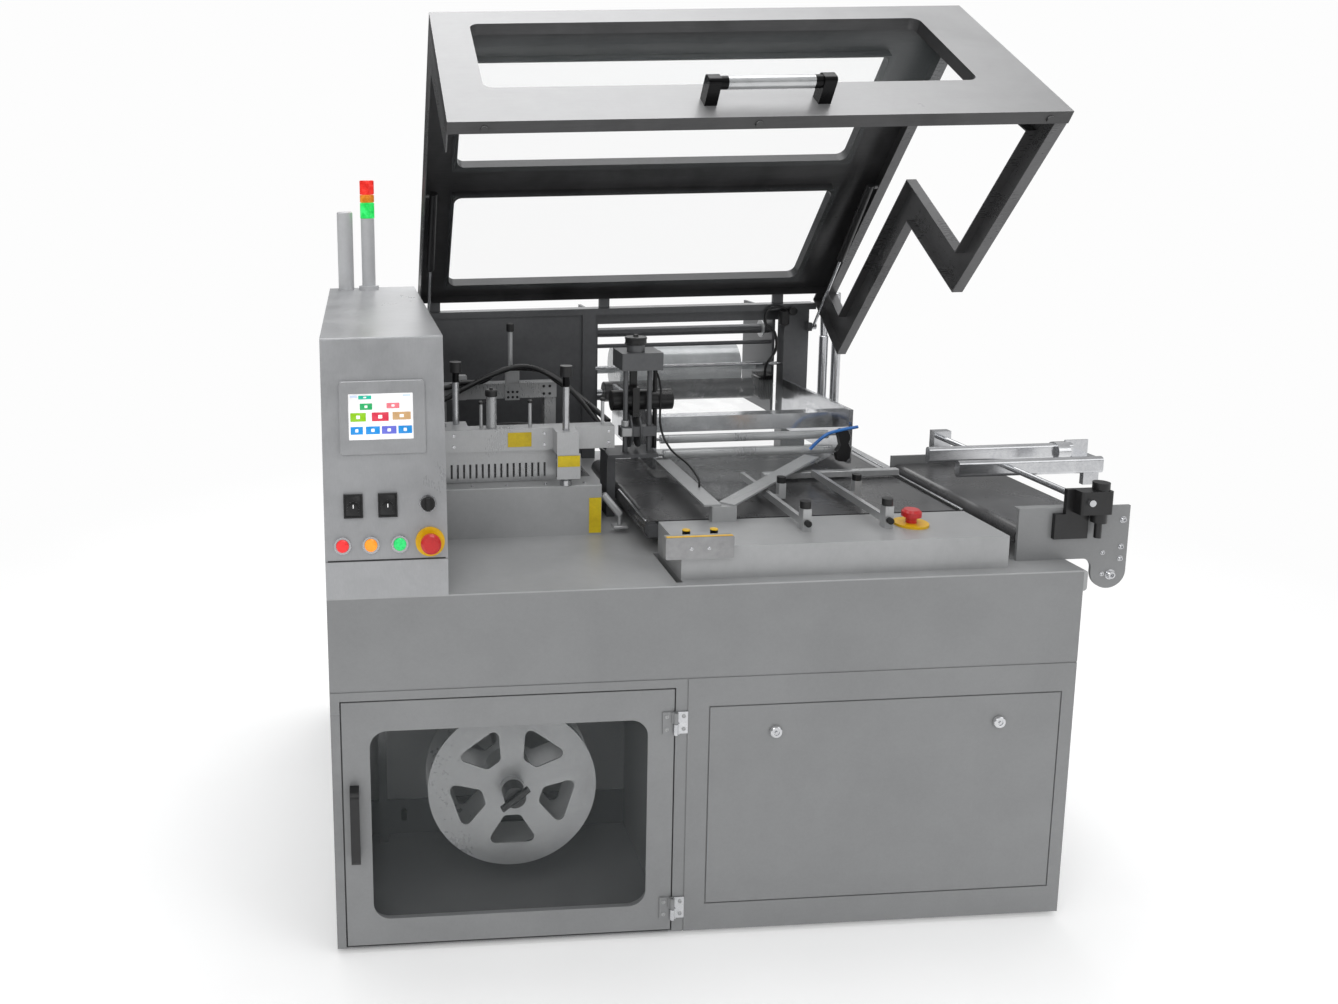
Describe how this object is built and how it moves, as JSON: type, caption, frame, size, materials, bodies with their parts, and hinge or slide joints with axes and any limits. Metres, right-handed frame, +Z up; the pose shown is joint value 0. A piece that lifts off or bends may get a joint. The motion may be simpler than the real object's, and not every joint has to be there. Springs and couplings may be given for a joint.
{
  "type": "side-seal film wrapping machine",
  "caption": "Automatic film wrapping machine: sheet-steel cabinet with reel compartment, control console, sealing table, film rack, infeed guides and a raised hinged guard hood.",
  "frame": {"origin": "middle of the plinth's underside, on the floor", "axes": "+Z up; +X from the control console towards the infeed; +Y from the operator's side to the rear"},
  "size_m": [1.8779, 1.247, 1.9629],
  "materials": {
    "painted_grey": "satin mottled grey sheet steel",
    "door_grey": "satin grey sheet steel",
    "brushed_plate": "brushed plate",
    "polished_tube": "polished tube",
    "bare_aluminium": "anodised",
    "black_plastic": "matte black",
    "black_paint": "black",
    "belt_rubber": "matte black belt",
    "glazing": "clear pane",
    "film": "clear film on its core",
    "red_plastic": "red",
    "amber_plastic": "amber",
    "green_plastic": "green",
    "yellow_plastic": "yellow"
  },
  "bodies": {
    "machine": {"base_plinth": "painted_grey", "cabinet_housing": "painted_grey", "compartment_liner": "painted_grey", "access_panel": "door_grey", "deck_plate": "brushed_plate", "door_hinges": "brushed_plate", "reel_axle": "brushed_plate", "console_housing": "painted_grey", "touch_screen": "brushed_plate", "dial_meters": "black_plastic", "button_collars": "polished_tube", "stop_guards": "yellow_plastic", "console_columns": "bare_aluminium", "table_cover": "brushed_plate", "conveyor_beds": "brushed_plate", "conveyor_belts": "belt_rubber", "infeed_frame": "brushed_plate", "rear_guide": "polished_tube", "guide_clamp": "black_plastic", "cross_slides": "bare_aluminium", "hand_knobs": "black_plastic", "hood_catches": "brushed_plate", "lower_jaw_cover": "brushed_plate", "jaw_shafts": "polished_tube", "rear_jaw_frame": "bare_aluminium", "side_sealer": "bare_aluminium", "sealer_drive": "black_paint", "rear_posts": "painted_grey", "hinge_beam": "painted_grey", "film_guide": "bare_aluminium", "film_rack": "painted_grey", "film_roll": "film", "film_plough": "brushed_plate", "lamp_red": "red_plastic", "lamp_amber": "amber_plastic", "lamp_green": "green_plastic"},
    "guard_hood": {"hood_front": "painted_grey", "hood_top": "painted_grey", "hood_end": "painted_grey", "hood_cheek": "painted_grey", "hood_panes": "glazing", "hood_handle": "bare_aluminium"},
    "gas_rods": {"spring_rods": "polished_tube"},
    "gas_tubes": {"spring_tubes": "black_paint"},
    "door": {"cabinet_door": "door_grey", "door_window": "glazing", "door_handle": "black_plastic"},
    "reel": {"scrap_reel": "bare_aluminium", "reel_handle": "black_plastic"},
    "upper_jaw": {"sealing_jaw": "bare_aluminium"},
    "panel_stop_head": {"panel_stop": "red_plastic"},
    "table_stop_head": {"table_stop": "red_plastic"},
    "red_button": {"button_red": "red_plastic"},
    "amber_button": {"button_amber": "amber_plastic"},
    "green_button": {"button_green": "green_plastic"},
    "selector": {"selector_knob": "black_plastic"},
    "front_guide": {"guide_carriage": "polished_tube"},
    "upper_roller": {"guide_roller_upper": "polished_tube"},
    "lower_roller": {"guide_roller_lower": "polished_tube"}
  },
  "joints": [
    {"name": "hood_hinge", "type": "hinge", "parent": "machine", "child": "guard_hood", "pos_m": [-0.025, 0.45, 1.262], "axis": [1, 0, 0], "range_deg": [0, 50]},
    {"name": "gas_rod_pivot", "type": "hinge", "parent": "machine", "child": "gas_rods", "pos_m": [-0.025, 0.422, 1.158], "axis": [1, 0, 0], "range_deg": [0, 47.2]},
    {"name": "gas_tube_slide", "type": "slide", "parent": "gas_rods", "child": "gas_tubes", "axis": [0, -0.5814, 0.8137], "range_m": [-0.08795, 0]},
    {"name": "door_hinge", "type": "hinge", "parent": "machine", "child": "door", "pos_m": [-0.0695, -0.516, 0.287], "axis": [0, 0, 1], "range_deg": [0, 110]},
    {"name": "reel_spin", "type": "hinge", "parent": "machine", "child": "reel", "pos_m": [-0.389, -0.36, 0.288], "axis": [0, 1, 0], "continuous": true},
    {"name": "jaw_slide", "type": "slide", "parent": "machine", "child": "upper_jaw", "axis": [0, 0, 1], "range_m": [0, 0.08]},
    {"name": "front_guide_slide", "type": "slide", "parent": "machine", "child": "front_guide", "axis": [0, 1, 0], "range_m": [-0.11, 0]},
    {"name": "selector_turn", "type": "hinge", "parent": "machine", "child": "selector", "pos_m": [-0.57, -0.49611, 0.96811], "axis": [0, -0.9919, 0.1274], "range_deg": [-45, 45]},
    {"name": "upper_roller_spin", "type": "hinge", "parent": "machine", "child": "upper_roller", "pos_m": [0.295, 0.078, 0.928], "axis": [1, 0, 0], "continuous": true},
    {"name": "lower_roller_spin", "type": "hinge", "parent": "machine", "child": "lower_roller", "pos_m": [0.295, 0.05, 0.896], "axis": [1, 0, 0], "continuous": true},
    {"name": "panel_stop_press", "type": "slide", "parent": "machine", "child": "panel_stop_head", "axis": [0, 0.9919, -0.1274], "range_m": [0, 0.004], "stiffness_N_per_m": 1500},
    {"name": "table_stop_press", "type": "slide", "parent": "machine", "child": "table_stop_head", "axis": [0, 0, -1], "range_m": [0, 0.004], "stiffness_N_per_m": 1500},
    {"name": "red_button_press", "type": "slide", "parent": "machine", "child": "red_button", "axis": [0, 0.9919, -0.1274], "range_m": [0, 0.003], "stiffness_N_per_m": 400},
    {"name": "amber_button_press", "type": "slide", "parent": "machine", "child": "amber_button", "axis": [0, 0.9919, -0.1274], "range_m": [0, 0.003], "stiffness_N_per_m": 400},
    {"name": "green_button_press", "type": "slide", "parent": "machine", "child": "green_button", "axis": [0, 0.9919, -0.1274], "range_m": [0, 0.003], "stiffness_N_per_m": 400}
  ],
  "couplings": [
    {"joint": "gas_rod_pivot", "follows": "hood_hinge", "ratio": 0.93607},
    {"joint": "gas_tube_slide", "follows": "hood_hinge", "m_per_rad": -0.10032}
  ]
}
